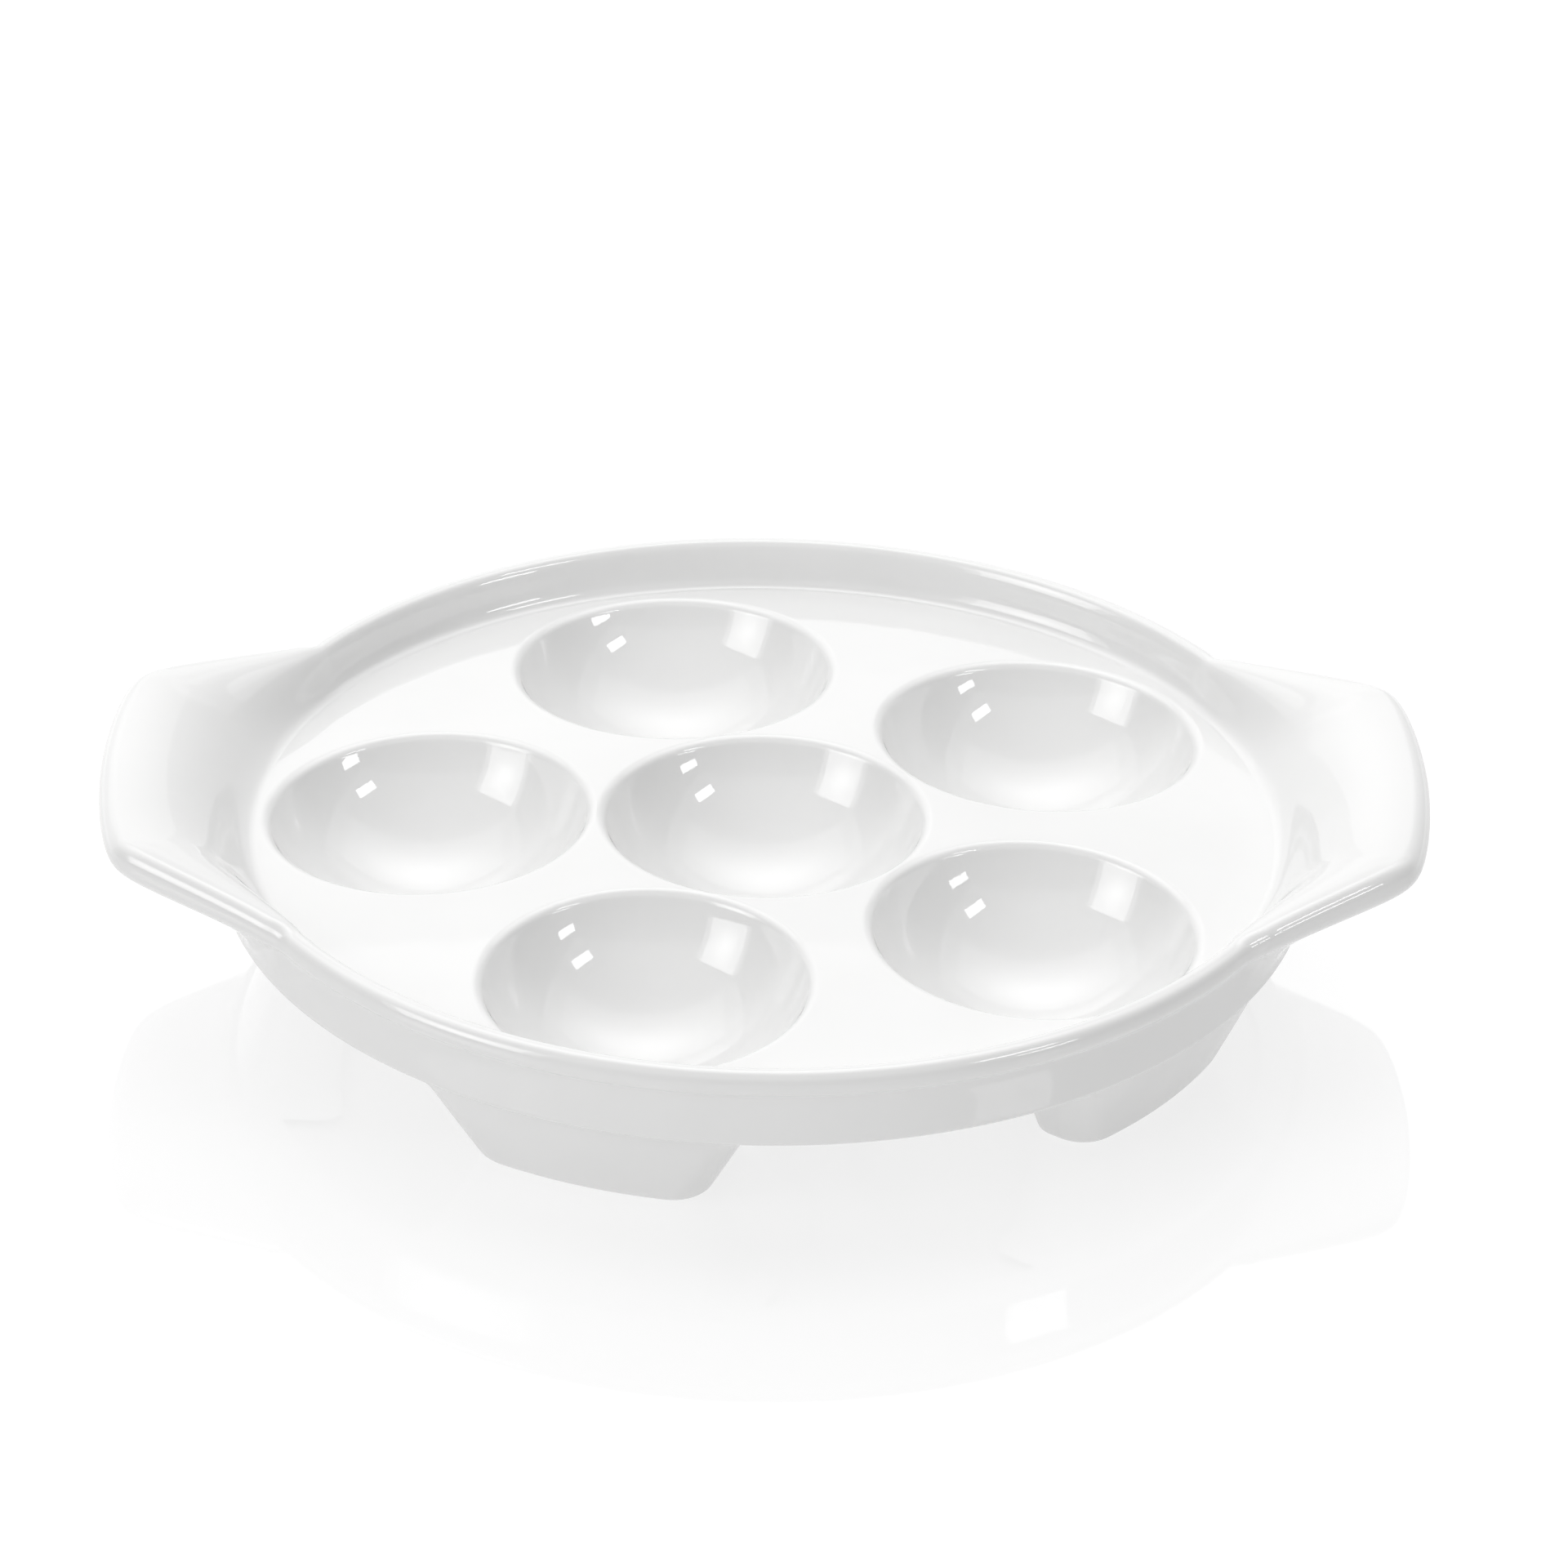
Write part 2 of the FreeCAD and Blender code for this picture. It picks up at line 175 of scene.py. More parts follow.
def cubic(poles, t):
    """Radius and height along a cubic curve given by four (radius, height) poles."""
    weights = ((1 - t) ** 3, 3 * (1 - t) ** 2 * t, 3 * (1 - t) * t**2, t**3)
    radius = sum(weight * pole[0] for weight, pole in zip(weights, poles))
    height = sum(weight * pole[1] for weight, pole in zip(weights, poles))
    return radius, height


def outline_reach(bearing):
    """Plan reach of the rolled edge: a bowed tip, a straight flank and the round rim."""
    turn = np.abs((bearing + math.pi / 2) % math.pi - math.pi / 2)
    tip_centre = HANDLE_REACH - TIP_CURVE
    across = tip_centre * np.sin(turn)
    tip = tip_centre * np.cos(turn) + np.sqrt(TIP_CURVE**2 - across**2)
    lean = math.radians(FLANK_ANGLE)
    offset = FLANK_START[0] * math.sin(lean) + FLANK_START[1] * math.cos(lean)
    flank = offset / np.sin(turn + lean)
    reach = eased(RIM_REACH, eased(tip, flank, CORNER_EASE, -1), FLARE_EASE, 1)
    fade = np.clip((math.radians(HANDLE_HALF_ANGLE) - turn) / math.radians(HANDLE_FADE), 0, 1)
    return RIM_REACH + (reach - RIM_REACH) * fade * fade * (3 - 2 * fade)


def edge_shape(bearing):
    """Reach of the edge, its share of a handle's full shape, its crest height and its bead."""
    reach = outline_reach(bearing)
    share = np.clip((reach - RIM_REACH) / (HANDLE_REACH - RIM_REACH), 0, 1) ** HANDLE_SPREAD
    top = RIM_TOP + share * (HANDLE_TOP - RIM_TOP)
    bead = BEAD_ROUND + share * (HANDLE_ROUND - BEAD_ROUND)
    return reach, share, top, bead


def sphere_height(radius, x, y):
    """Height of a dome of that radius about the deck's own centre of curvature."""
    return DOME_Z + np.sqrt(radius**2 - x * x - y * y)


def climb_poles(bearing):
    """The curve from the deck up to the crest of the rim or handle."""
    reach, share, top, bead = edge_shape(bearing)
    deck = float(sphere_height(DOME_RADIUS, CLIMB_START, 0.0))
    ramp = INNER_SWEEP + share * (HANDLE_RAMP - INNER_SWEEP)
    lip = CREST_SWEEP + share * (HANDLE_LIP - CREST_SWEEP)
    crest = reach - bead
    return (
        (np.full_like(reach, CLIMB_START), np.full_like(reach, deck)),
        (CLIMB_START + ramp, deck - ramp * CLIMB_START / DOME_RADIUS),
        (crest - lip, top),
        (crest, top),
    )


def share_at(poles, radius):
    """How far along the climb a plan radius is reached, found by halving."""
    low = np.zeros_like(radius)
    high = np.ones_like(radius)
    for _ in range(HALVINGS):
        middle = (low + high) / 2
        beyond = cubic(poles, middle)[0] > radius
        high = np.where(beyond, middle, high)
        low = np.where(beyond, low, middle)
    return (low + high) / 2


def top_height(x, y):
    """Height of the upper surface at a plan point of the deck or its collar."""
    radius = np.hypot(x, y)
    poles = climb_poles(np.arctan2(y, x))
    climbed = cubic(poles, share_at(poles, np.maximum(radius, CLIMB_START)))[1]
    return np.where(radius > CLIMB_START, climbed, sphere_height(DOME_RADIUS, x, y))


def cup_centre(bearing):
    """Centre of a well's bowl; None stands for the middle well."""
    height = DOME_RADIUS + bowl_shape()[0]
    if bearing is None:
        return np.array([0.0, 0.0, DOME_Z + height])
    out = height * math.sin(WELL_TILT)
    up = DOME_Z + height * math.cos(WELL_TILT)
    return np.array([out * math.cos(bearing), out * math.sin(bearing), up])


def bowl_shape():
    """Centre height and radius of the bowl, and the centre of the mouth's rounding.

    Heights are from the deck along the well's axis.
    """
    round_radius = LIP_RADIUS * (DOME_RADIUS - LIP_ROUND) / DOME_RADIUS
    round_height = math.sqrt((DOME_RADIUS - LIP_ROUND) ** 2 - round_radius**2) - DOME_RADIUS
    above = round_height + WELL_DEPTH
    radius = (round_radius**2 + above**2 - LIP_ROUND**2) / (2 * (above + LIP_ROUND))
    return radius - WELL_DEPTH, radius, round_radius, round_height


CUP_CENTRES = [cup_centre(None), *(cup_centre(bearing) for bearing in BEARINGS.values())]


def under_height(x, y):
    """Height of the underside: the deck's flat belly with the six round cups blended in."""
    belly = sphere_height(UNDER_RADIUS, x, y)
    size = bowl_shape()[1] + CUP_WALL
    cups = np.full_like(belly, DECK_HEIGHT)
    for centre in CUP_CENTRES:
        inside = size**2 - (x - centre[0]) ** 2 - (y - centre[1]) ** 2
        cup = centre[2] - np.sqrt(np.maximum(inside, 0.0))
        cups = np.minimum(cups, np.where(inside > 0, cup, DECK_HEIGHT))
    mix = np.clip(0.5 + 0.5 * (cups - belly) / CUP_BLEND, 0, 1)
    return cups * (1 - mix) + belly * mix - CUP_BLEND * mix * (1 - mix)


def slope_normals(height, x, y, side):
    """Unit normals of a surface given by a height function; side 1 faces up, -1 down."""
    slope_x = height(x + NORMAL_STEP, y) - height(x - NORMAL_STEP, y)
    slope_y = height(x, y + NORMAL_STEP) - height(x, y - NORMAL_STEP)
    return side * unit(np.stack([-slope_x, -slope_y, np.full_like(x, 2 * NORMAL_STEP)], axis=-1))


def grid_normals(grid, side):
    """Normals of a grid of points, joined first row to last, from the neighbours either side."""
    along = np.roll(grid, -1, axis=0) - np.roll(grid, 1, axis=0)
    return side * unit(np.cross(along, np.gradient(grid, axis=1)))


# ------------------------------------------------------------------ mesh building


class Shell:
    """Gathers points, the normals they show and faces, then makes one closed mesh."""

    def __init__(self):
        self.points = []
        self.normals = []
        self.faces = []
        self.flat = []
        self.paint = []
        self.count = 0

    def add(self, points, normals=None):
        """Adds points and returns their numbers in the same layout."""
        points = np.asarray(points, float)
        self.points.append(points.reshape(-1, 3))
        if normals is None:
            normals = np.zeros_like(points)
        self.normals.append(np.asarray(normals, float).reshape(-1, 3))
        first = self.count
        self.count += points.size // 3
        return np.arange(first, self.count).reshape(points.shape[:-1])

    def quads(self, numbers, joined=False, flat=False, flip=False, paint=0):
        """Faces over a grid of point numbers; joined closes the last row to the first."""
        if joined:
            numbers = np.concatenate([numbers, numbers[:1]])
        ring = (numbers[:-1, :-1], numbers[1:, :-1], numbers[1:, 1:], numbers[:-1, 1:])
        self.extend(np.stack(ring, axis=-1).reshape(-1, 4), flat, flip, paint)

    def extend(self, corners, flat=False, flip=False, paint=0):
        """Faces given by their corner numbers; a corner named twice is dropped."""
        for face in np.asarray(corners).tolist():
            ring = list(dict.fromkeys(face))
            if len(ring) > 2:
                self.faces.append(ring[::-1] if flip else ring)
                self.flat.append(flat)
                self.paint.append(paint)

    def make(self, name, materials):
        """The finished mesh as an object; flat faces keep their own normals."""
        mesh = bpy.data.meshes.new(name)
        mesh.from_pydata((np.concatenate(self.points) * MM).tolist(), [], self.faces)
        for material in materials:
            mesh.materials.append(material)
        mesh.polygons.foreach_set("use_smooth", [not flat for flat in self.flat])
        mesh.polygons.foreach_set("material_index", self.paint)
        corner_points = np.zeros(len(mesh.loops), dtype=int)
        mesh.loops.foreach_get("vertex_index", corner_points)
        shown = np.concatenate(self.normals)[corner_points]
        sizes = [len(face) for face in self.faces]
        shown[np.repeat(self.flat, sizes)] = 0
        mesh.normals_split_custom_set(shown.tolist())
        mesh.update()
        piece = bpy.data.objects.new(name, mesh)
        bpy.context.scene.collection.objects.link(piece)
        return piece


# ------------------------------------------------------------------ wells


def cell_reach(angles, bearing):
    """How far from its axis a well's share of the deck goes, at angles round the axis."""
    reach = np.full_like(angles, CELL_RADIUS)
    half = math.tan(WELL_TILT / 2)
    neighbours = BEARINGS.values() if bearing is None else (math.pi,)
    for neighbour in neighbours:
        facing = np.maximum(np.cos(angles - neighbour), 1e-3)  # no limit on the far side
        tilt = np.arctan(half / facing)
        reach = np.minimum(reach, DOME_RADIUS * np.sin(tilt))
    if bearing is not None:
        edge = math.sqrt(1 - (SKIRT_INNER / DOME_RADIUS) ** 2)
        across = math.sin(WELL_TILT) * np.cos(angles)
        size = np.hypot(math.cos(WELL_TILT), across)
        tilt = np.arccos(edge / size) - np.arctan2(across, math.cos(WELL_TILT))
        reach = np.minimum(reach, DOME_RADIUS * np.sin(tilt))
    return reach


def cell_corners(bearing):
    """Angles round a well's axis where its share of the deck has a corner."""
    full = math.asin(CELL_RADIUS / DOME_RADIUS)
    inner = math.acos(math.tan(WELL_TILT / 2) / math.tan(full))
    if bearing is None:
        return [place + side * inner for place in BEARINGS.values() for side in (-1, 1)]
    edge = math.sqrt(1 - (SKIRT_INNER / DOME_RADIUS) ** 2)
    level = math.cos(WELL_TILT) * math.cos(full) - edge
    outer = math.acos(level / (math.sin(WELL_TILT) * math.sin(full)))
    return [math.pi - inner, math.pi + inner, outer, math.tau - outer]


def well_angles(bearing):
    """Angles round a well's axis: even steps, and the corners of its share of the deck."""
    steps = np.radians(np.arange(0, 360, WELL_STEP))
    corners = np.array(cell_corners(bearing)) % math.tau
    return np.sort(np.concatenate([steps, corners]))


def seat(points, bearing):
    """Moves points built at the crown of the deck to a well's place, square to the dome."""
    x, y, z = points[..., 0], points[..., 1], points[..., 2] + DOME_RADIUS
    if bearing is None:
        return np.stack([x, y, z + DOME_Z], axis=-1)
    out = x * math.cos(WELL_TILT) + z * math.sin(WELL_TILT)
    up = z * math.cos(WELL_TILT) - x * math.sin(WELL_TILT)
    east = out * math.cos(bearing) - y * math.sin(bearing)
    north = out * math.sin(bearing) + y * math.cos(bearing)
    return np.stack([east, north, up + DOME_Z], axis=-1)


def well_rows(reach):
    """Radius and height of each row of a well's upper surface, from its bottom outward.

    Beside the next well the deck pinches out, so there the rounded mouth is cut short.
    """
    centre, radius, round_radius, round_height = bowl_shape()
    rise = math.atan2(round_radius, centre - round_height)
    rows = []
    for angle in np.linspace(0, rise, BOWL_STEPS):
        low = centre - radius * math.cos(angle)
        rows.append((np.full_like(reach, radius * math.sin(angle)), np.full_like(reach, low)))
    start = math.atan2(centre - round_height, -round_radius)
    lip = np.minimum(reach - PINCH, LIP_RADIUS)
    end = np.arccos((lip - round_radius) / LIP_ROUND)
    for step in np.linspace(0, 1, LIP_STEPS + 1)[1:]:
        angle = start + (end - start) * step
        level = round_height + LIP_ROUND * np.sin(angle)
        rows.append((round_radius + LIP_ROUND * np.cos(angle), level))
    for share in (0.5, 1.0):
        out = lip + share * (reach - lip)
        rows.append((out, mouth_height(out)))
    return rows


def mouth_height(radius):
    """Height of the mouth's rounding, or of the deck beyond it, from a well's own crown."""
    round_radius, round_height = bowl_shape()[2:]
    across = np.clip(radius - round_radius, 0, LIP_ROUND)
    rounding = round_height + np.sqrt(LIP_ROUND**2 - across**2)
    deck = np.sqrt(DOME_RADIUS**2 - radius**2) - DOME_RADIUS
    return np.where(radius < LIP_RADIUS, rounding, deck)


def well_rim(bearing):
    """The closed line round a well's share of the deck, on the upper surface."""
    angles = well_angles(bearing)
    reach = cell_reach(angles, bearing)
    height = np.sqrt(DOME_RADIUS**2 - reach**2) - DOME_RADIUS
    points = np.stack([reach * np.cos(angles), reach * np.sin(angles), height], axis=-1)
    return angles, seat(points, bearing)


def dome_normals(points):
    """Normals of the deck's dome."""
    return unit(points - np.array([0.0, 0.0, DOME_Z]))


def led_by(number, grid):
    """A grid of point numbers with one shared point put before every row."""
    return np.concatenate([np.full((len(grid), 1), number), grid], axis=1)


def cup_upper(angles, bearing):
    """Points and normals of a well's bowl, mouth and share of the deck, a row per angle."""
    reach = cell_reach(angles, bearing)
    rows = well_rows(reach)
    radius = np.stack([row[0] for row in rows], axis=1)
    height = np.stack([row[1] for row in rows], axis=1)
    cosine, sine = np.cos(angles)[:, None], np.sin(angles)[:, None]
    surface = seat(np.stack([radius * cosine, radius * sine, height], axis=-1), bearing)
    normals = grid_normals(surface, -1)
    plain = reach > LIP_RADIUS + PINCH
    normals[plain, -3:] = dome_normals(surface[plain, -3:])
    normals[:, 0] = unit(seat(np.array([0.0, 0.0, 1.0]), bearing) - seat(np.zeros(3), bearing))
    return surface, normals


def cup_lower(rim, lowest):
    """Points and normals of a well's round underside, from its lowest point out to its rim."""
    share = np.sin(np.linspace(0, math.pi / 2, BOWL_STEPS))[None, 1:, None]
    plan = lowest + (rim[:, None, :2] - lowest) * share
    x, y = plan[..., 0], plan[..., 1]
    surface = np.stack([x, y, under_height(x, y)], axis=-1)
    return surface, slope_normals(under_height, x, y, -1)


def make_well(name, bearing):
    """One cup: its bowl, rounded mouth, share of the deck and round underside."""
    surface, normals = cup_upper(well_angles(bearing), bearing)
    shell = Shell()
    upper = shell.add(surface[:, 1:], normals[:, 1:])
    upper = led_by(shell.add(surface[0, 0], normals[0, 0]), upper)
    shell.quads(upper, joined=True, flip=True)
    lowest = cup_centre(bearing)[:2]
    tip = np.append(lowest, under_height(lowest[:1], lowest[1:])[0])
    lower = shell.add(*cup_lower(surface[:, -1], lowest))
    lower = led_by(shell.add(tip, DOWN), lower)
    shell.quads(lower, joined=True)
    wall = np.stack([upper[:, -1], lower[:, -1]], axis=1)
    shell.quads(wall, joined=True, flat=True, flip=True)
    return shell.make(name, [GLAZE])


# ------------------------------------------------------------------ deck


def between(angles, points, start, end):
    """The points whose angle lies from start round to end, in that order."""
    turn = (angles - start) % math.tau
    span = (end - start) % math.tau
    tolerance = 1e-9
    turn = np.where(turn > math.tau - tolerance, 0.0, turn)
    chosen = turn < span + tolerance
    order = np.argsort(turn[chosen])
    return points[chosen][order]


def wells_outline():
    """The closed line round all six wells together, anticlockwise."""
    middle_angles, middle = well_rim(None)
    inner = (cell_corners(0.0)[1] - math.pi) % math.tau
    line = []
    bearings = list(BEARINGS.values())
    for place, bearing in enumerate(bearings):
        angles, points = well_rim(bearing)
        line.append(between(angles, points, math.pi + inner, math.pi - inner)[:-1])
        following = bearings[(place + 1) % len(bearings)]
        arc = between(middle_angles, middle, bearing + inner, following - inner)
        line.append(arc[:-1])
    return np.concatenate(line)


def inside_outline(points, outline):
    """Which plan points lie inside a closed line."""
    x, y = points[:, 0][:, None], points[:, 1][:, None]
    x1, y1 = outline[:, 0][None], outline[:, 1][None]
    x2, y2 = np.roll(x1, -1, axis=1), np.roll(y1, -1, axis=1)
    crosses = (y1 > y) != (y2 > y)
    run = np.where(y2 == y1, 1.0, y2 - y1)
    left = x < x1 + (y - y1) * (x2 - x1) / run
    return (crosses & left).sum(axis=1) % 2 == 1


def circle(radius, step):
    """Plan points every so many degrees round a circle about the middle."""
    bearings = np.radians(np.arange(0, 360, step))
    return radius * np.stack([np.cos(bearings), np.sin(bearings)], axis=-1)


def far_from(points, gap, others):
    """The points that keep a gap from all the others."""
    distance = np.full(len(points), np.inf)
    for other in others:
        distance = np.minimum(distance, np.hypot(*(points - other).T))
    return points[distance > gap]


def deck_rings(outline):
    """Plan points of the deck in close rings round the wells."""
    rings = []
    for centre in CUP_CENTRES:
        middle = centre[:2] * DOME_RADIUS / (DOME_RADIUS + centre[2])
        rings += [middle + circle(radius, WELL_STEP) for radius in RING_ROWS]
    points = np.concatenate(rings)
    points = points[~inside_outline(points, outline)]
    points = points[np.hypot(*points.T) < SKIRT_INNER - COLLAR_GAP]
    return far_from(points, RING_GAP, outline)


def deck_field(outline, rings):
    """Plan points in an even triangular pattern over the rest of the deck."""
    reach = math.floor(SKIRT_INNER)
    rows = []
    levels = np.arange(-reach, reach, FIELD_SPACING * math.sqrt(3) / 2)
    for number, level in enumerate(levels):
        x = np.arange(-reach, reach, FIELD_SPACING) + (number % 2) * FIELD_SPACING / 2
        rows.append(np.stack([x, np.full_like(x, level)], axis=-1))
    points = np.concatenate(rows)
    points = points[np.hypot(*points.T) < SKIRT_INNER - FIELD_GAP]
    points = points[~inside_outline(points, outline)]
    return far_from(far_from(points, FIELD_GAP, outline), FIELD_GAP, rings)


def deck_plan():
    """Plan points of the deck and the triangles between them."""
    outline = wells_outline()[:, :2]
    edge = circle(COLLAR, EDGE_STEP)
    collar = np.concatenate([circle(radius, EDGE_STEP) for radius in COLLAR_ROWS])
    rings = deck_rings(outline)
    plan = np.concatenate([outline, edge, collar, rings, deck_field(outline, rings)])
    count, rim = len(outline), len(edge)
    loops = [(i, (i + 1) % count) for i in range(count)]
    loops += [(count + i, count + (i + 1) % rim) for i in range(rim)]
    result = delaunay_2d_cdt([Vector(point) for point in plan], loops, [], 0, 1e-7)
    plan = np.array([tuple(point) for point in result[0]])
    triangles = np.array(result[2])
    triangles = triangles[~inside_outline(plan[triangles].mean(axis=1), outline)]
    used, triangles = np.unique(triangles, return_inverse=True)
    return plan[used], triangles.reshape(-1, 3)


def open_sides(triangles):
    """The sides that only one triangle has, each as its start and end."""
    sides = []
    for face in triangles.tolist():
        sides += zip(face, face[1:] + face[:1])
    known = set(sides)
    return [(start, end) for start, end in sides if (end, start) not in known]


def make_deck():
    """The web between the wells, with the collar that joins it up all round."""
    plan, triangles = deck_plan()
    x, y = plan.T
    upper = np.stack([x, y, top_height(x, y)], axis=-1)
    normals = slope_normals(top_height, x, y, 1)
    plain = np.hypot(x, y) < CLIMB_START - NORMAL_STEP
    normals[plain] = dome_normals(upper[plain])
    lower = np.stack([x, y, under_height(x, y)], axis=-1)
    shell = Shell()
    top = shell.add(upper, normals)
    bottom = shell.add(lower, slope_normals(under_height, x, y, -1))
    shell.extend(top[triangles])
    shell.extend(bottom[triangles], flip=True)
    for start, end in open_sides(triangles):
        shell.extend([[top[end], top[start], bottom[start], bottom[end]]], flat=True)
    return shell.make("glazed_deck", [GLAZE])


# ------------------------------------------------------------------ rim and handles


def section_rows(bearings):
    """Radius and height, row by row, of the rolled edge from the collar to the skirt's hem."""
    reach, share, top, bead = edge_shape(bearings)
    poles = climb_poles(bearings)
    first = share_at(poles, np.full_like(bearings, COLLAR))
    rows = []
    for step in np.linspace(0, 1, CURVE_STEPS):
        rows.append(cubic(poles, first + (1 - first) * step))
    rows[0] = (np.full_like(bearings, COLLAR), rows[0][1])
    centre = (reach - bead, top - bead)
    under = math.radians(BEAD_UNDERCUT)
    for angle in np.linspace(math.pi / 2, -under, BEAD_STEPS + 1)[1:]:
        rows.append((centre[0] + bead * math.cos(angle), centre[1] + bead * math.sin(angle)))
    run = CREASE + share * (HANDLE_UNDERSIDE - CREASE)
    end = rows[-1]
    band_top = SKIRT_BOTTOM + SKIRT_ROUND
    band = (
        end,
        (end[0] - run * math.sin(under), end[1] - run * math.cos(under)),
        (SKIRT_RADIUS + SKIRT_LEAN * BAND_SWEEP, band_top + BAND_SWEEP),
        (SKIRT_RADIUS, band_top),
    )
    for step in np.linspace(0, 1, CURVE_STEPS)[1:]:
        rows.append(cubic(band, step))
    for angle in np.linspace(0, -math.pi / 2, HEM_STEPS + 1)[1:]:
        out = SKIRT_RADIUS - SKIRT_ROUND + SKIRT_ROUND * math.cos(angle)
        rows.append((out, band_top + SKIRT_ROUND * math.sin(angle)))
    radius = np.stack([np.broadcast_to(row[0], bearings.shape) for row in rows], axis=1)
    height = np.stack([np.broadcast_to(row[1], bearings.shape) for row in rows], axis=1)
    return radius, height


def edge_surface():
    """Points and normals of the rolled edge all the way round the dish."""
    bearings = np.radians(np.arange(0, 360, EDGE_STEP))
    radius, height = section_rows(bearings)
    x = radius * np.cos(bearings)[:, None]
    y = radius * np.sin(bearings)[:, None]
    surface = np.stack([x, y, height], axis=-1)
    normals = grid_normals(surface, -1)
    normals[:, 0] = slope_normals(top_height, x[:, 0], y[:, 0], 1)
    normals[:, -1] = DOWN
    return surface, normals


def make_edge_piece(name, start, end):
    """A length of the rolled edge between two bearings in degrees: plain rim or handle."""
    columns = np.arange(round(start / EDGE_STEP), round(end / EDGE_STEP) + 1) % len(EDGE_SURFACE)
    shell = Shell()
    shown = shell.add(EDGE_SURFACE[columns], EDGE_NORMALS[columns])
    shell.quads(shown, flip=True)
    bearings = np.radians(columns * EDGE_STEP)
    hidden = []
    for radius in HIDDEN_ROWS:
        x, y = radius * np.cos(bearings), radius * np.sin(bearings)
        level = under_height(x, y) if hidden else np.full_like(x, SKIRT_BOTTOM)
        hidden.append(shell.add(np.stack([x, y, level], axis=-1)))
    belt = np.stack([shown[:, -1], *hidden, shown[:, 0]], axis=1)
    shell.quads(belt, flat=True, flip=True)
    ring = np.concatenate([shown, np.stack(hidden, axis=1)], axis=1)
    shell.extend([ring[0]], flat=True, flip=True)
    shell.extend([ring[-1]], flat=True)
    return shell.make(name, [GLAZE])


# ------------------------------------------------------------------ feet


def foot_size(height):
    """Outer reach, inner reach, half width and inset of a foot at each height."""
    outer = FOOT_OUTER[0] + (FOOT_OUTER[1] - FOOT_OUTER[0]) / SKIRT_BOTTOM * height
    inner = FOOT_INNER[0] + (FOOT_INNER[1] - FOOT_INNER[0]) / FOOT_TOP * height
    flare_start = SKIRT_BOTTOM - FOOT_FLARE
    lean = (FOOT_HALF[1] - FOOT_HALF[0]) / flare_start
    flare = np.clip((height - flare_start) / FOOT_FLARE, 0, 1)
    half = FOOT_HALF[0] + lean * height + FOOT_SPREAD * flare**2
    dip = np.clip(SOLE_ROUND - height, 0, SOLE_ROUND)
    inset = SOLE_ROUND - np.sqrt(SOLE_ROUND**2 - dip**2)
    return outer - inset, inner + inset, half - inset, inset


def foot_plan(kind, share, height):
    """A point of a foot's outline at each height; kind names the stretch of the outline."""
    outer, inner, half, inset = foot_size(height)
    corner = FOOT_CORNER - inset
    back_corner = FOOT_BACK_CORNER - inset
    side = half - corner
    back_side = half - back_corner
    out_x = np.sqrt((outer - corner) ** 2 - side**2)
    in_x = np.sqrt((inner + back_corner) ** 2 - back_side**2)
    out_angle = np.arctan2(side, out_x)
    in_angle = np.arctan2(back_side, in_x)
    if kind == "front":
        angle = out_angle * share
        return outer * np.cos(angle), outer * np.sin(angle)
    if kind == "front corner":
        angle = out_angle + (math.pi / 2 - out_angle) * share
        return out_x + corner * np.cos(angle), side + corner * np.sin(angle)
    if kind == "side":
        return out_x + (in_x - out_x) * share, half
    if kind == "back corner":
        angle = math.pi / 2 + (math.pi / 2 + in_angle) * share
        return in_x + back_corner * np.cos(angle), back_side + back_corner * np.sin(angle)
    angle = in_angle * (1 - share)
    return inner * np.cos(angle), inner * np.sin(angle)


# the stretches of half a foot's outline, and how many points each has
HALF_OUTLINE = {"front": 18, "front corner": 9, "side": 12, "back corner": 9, "back": 12}


def foot_columns():
    """The stretches and shares of every column round a foot, with the side it lies on."""
    columns = []
    for kind, count in HALF_OUTLINE.items():
        columns += [(kind, step / count) for step in range(count)]
    columns.append(("back", 1.0))
    left = [(kind, share, 1) for kind, share in columns]
    right = [(kind, share, -1) for kind, share in columns[-2:0:-1]]
    return left + right


def foot_end(x, y):
    """Height where a foot ends, just inside the dish above it."""
    under = under_height(x, y)
    skirt = np.where(np.hypot(x, y) > SKIRT_INNER, SKIRT_BOTTOM, under)
    return np.minimum(under, skirt) + OVERLAP


def foot_points(columns, bearing, height):
    """A point on every column round a foot, each at its own height."""
    plan = [foot_plan(kind, share, level) for (kind, share, _), level in zip(columns, height)]
    out = np.array([point[0] for point in plan])
    side = np.array([point[1] for point in plan]) * [column[2] for column in columns]
    x = out * math.cos(bearing) - side * math.sin(bearing)
    y = out * math.sin(bearing) + side * math.cos(bearing)
    return np.stack([x, y, height], axis=-1)


def foot_tops(columns, bearing):
    """Height at which each column of a foot ends, found by halving."""
    low = np.full(len(columns), SOLE_ROUND)
    high = np.full(len(columns), SKIRT_BOTTOM + OVERLAP)
    for _ in range(HALVINGS):
        middle = (low + high) / 2
        x, y = foot_points(columns, bearing, middle).T[:2]
        above = middle > foot_end(x, y)
        high = np.where(above, middle, high)
        low = np.where(above, low, middle)
    return high


def foot_wall(columns, bearing):
    """The side of a foot, in rows from the rounded edge of the sole up to the dish."""
    tops = foot_tops(columns, bearing)
    turns = np.linspace(0, math.pi / 2, SOLE_STEPS + 1)
    shares = np.linspace(0, 1, FOOT_STEPS + 1)[1:]
    levels = [np.full(len(columns), SOLE_ROUND * (1 - math.cos(turn))) for turn in turns]
    levels += [SOLE_ROUND + (tops - SOLE_ROUND) * share for share in shares]
    return np.stack([foot_points(columns, bearing, level) for level in levels], axis=1)


